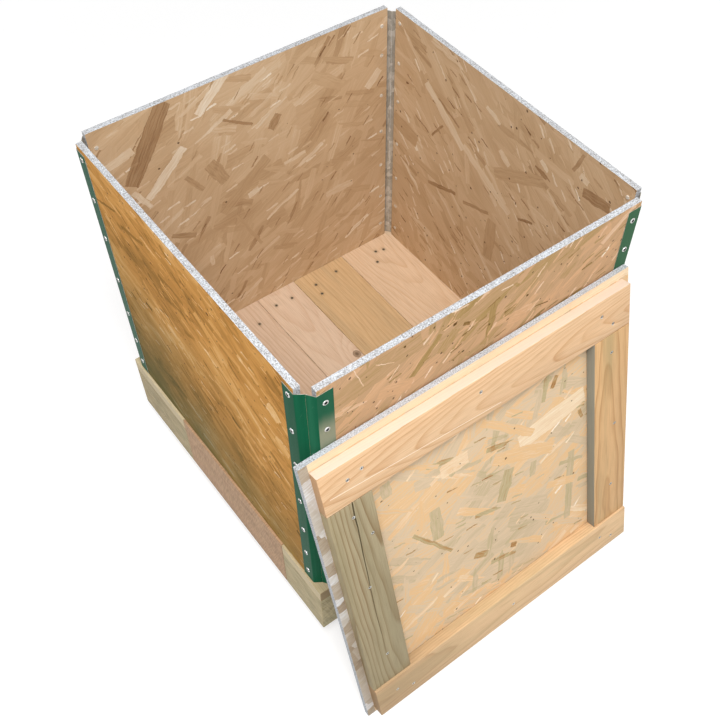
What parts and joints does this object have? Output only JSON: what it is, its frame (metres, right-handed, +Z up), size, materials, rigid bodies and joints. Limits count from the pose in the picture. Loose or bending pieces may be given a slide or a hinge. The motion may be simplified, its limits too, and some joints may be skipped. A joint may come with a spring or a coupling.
{
  "type": "folding crate",
  "caption": "Folding wooden crate: nailed plank base on skids, strand-board walls joined by creased steel corner strips, and a loose battened lid leaning on the front wall.",
  "frame": {"origin": "on the floor under the middle of the base, on the underside of the middle skid", "axes": "+X to the right as seen from the lid side, -Y towards the lid, +Z up"},
  "size_m": [0.6285, 0.7823, 0.7029],
  "materials": {
    "strand_board": "raw oriented strand board",
    "corner_steel": "glossy green sheet steel, bare zinc inside",
    "deck_pine": "planed pine",
    "bearer_pine": "sawn pine",
    "side_pine": "sawn pine",
    "skid_pine": "sawn pine",
    "batten_pine": "planed pine"
  },
  "bodies": {
    "base": {"skid_left": "skid_pine", "skid_middle": "skid_pine", "skid_right": "skid_pine", "bearer_front": "bearer_pine", "bearer_rear": "bearer_pine", "side_board_left": "side_pine", "side_board_right": "side_pine", "deck_plank_left": "deck_pine", "deck_plank_inner_left": "deck_pine", "deck_plank_middle": "deck_pine", "deck_plank_inner_right": "deck_pine", "deck_plank_right": "deck_pine"},
    "front_wall": {"front_wall_panel": "strand_board", "front_wall_leaf_left": "corner_steel", "front_wall_leaf_right": "corner_steel"},
    "right_wall": {"right_wall_panel": "strand_board", "right_wall_leaf_front": "corner_steel", "right_wall_leaf_rear": "corner_steel"},
    "rear_wall": {"rear_wall_panel": "strand_board", "rear_wall_leaf_right": "corner_steel", "rear_wall_leaf_left": "corner_steel"},
    "left_wall": {"left_wall_panel": "strand_board", "left_wall_leaf_rear": "corner_steel", "left_wall_leaf_front": "corner_steel"},
    "lid": {"lid_panel": "strand_board", "lid_batten_top": "batten_pine", "lid_batten_foot": "batten_pine", "lid_batten_left": "batten_pine", "lid_batten_right": "batten_pine"}
  },
  "joints": [
    {"name": "sleeve_lift", "type": "slide", "parent": "base", "child": "front_wall", "axis": [0, 0, 1], "range_m": [0, 0.6]},
    {"name": "left_wall_fold", "type": "hinge", "parent": "front_wall", "child": "left_wall", "pos_m": [-0.289, -0.289, 0.1829], "axis": [0, 0, 1], "range_deg": [-90, 90]},
    {"name": "right_wall_fold", "type": "hinge", "parent": "front_wall", "child": "right_wall", "pos_m": [0.289, -0.289, 0.1829], "axis": [0, 0, 1], "range_deg": [-90, 90]},
    {"name": "rear_wall_fold", "type": "hinge", "parent": "left_wall", "child": "rear_wall", "pos_m": [-0.289, 0.289, 0.1829], "axis": [0, 0, 1], "range_deg": [-90, 90]},
    {"name": "lid_lift", "type": "slide", "parent": "base", "child": "lid", "axis": [0, 0, 1], "range_m": [0, 0.6]}
  ],
  "couplings": [
    {"joint": "right_wall_fold", "follows": "left_wall_fold", "ratio": 1},
    {"joint": "rear_wall_fold", "follows": "left_wall_fold", "ratio": -1}
  ]
}
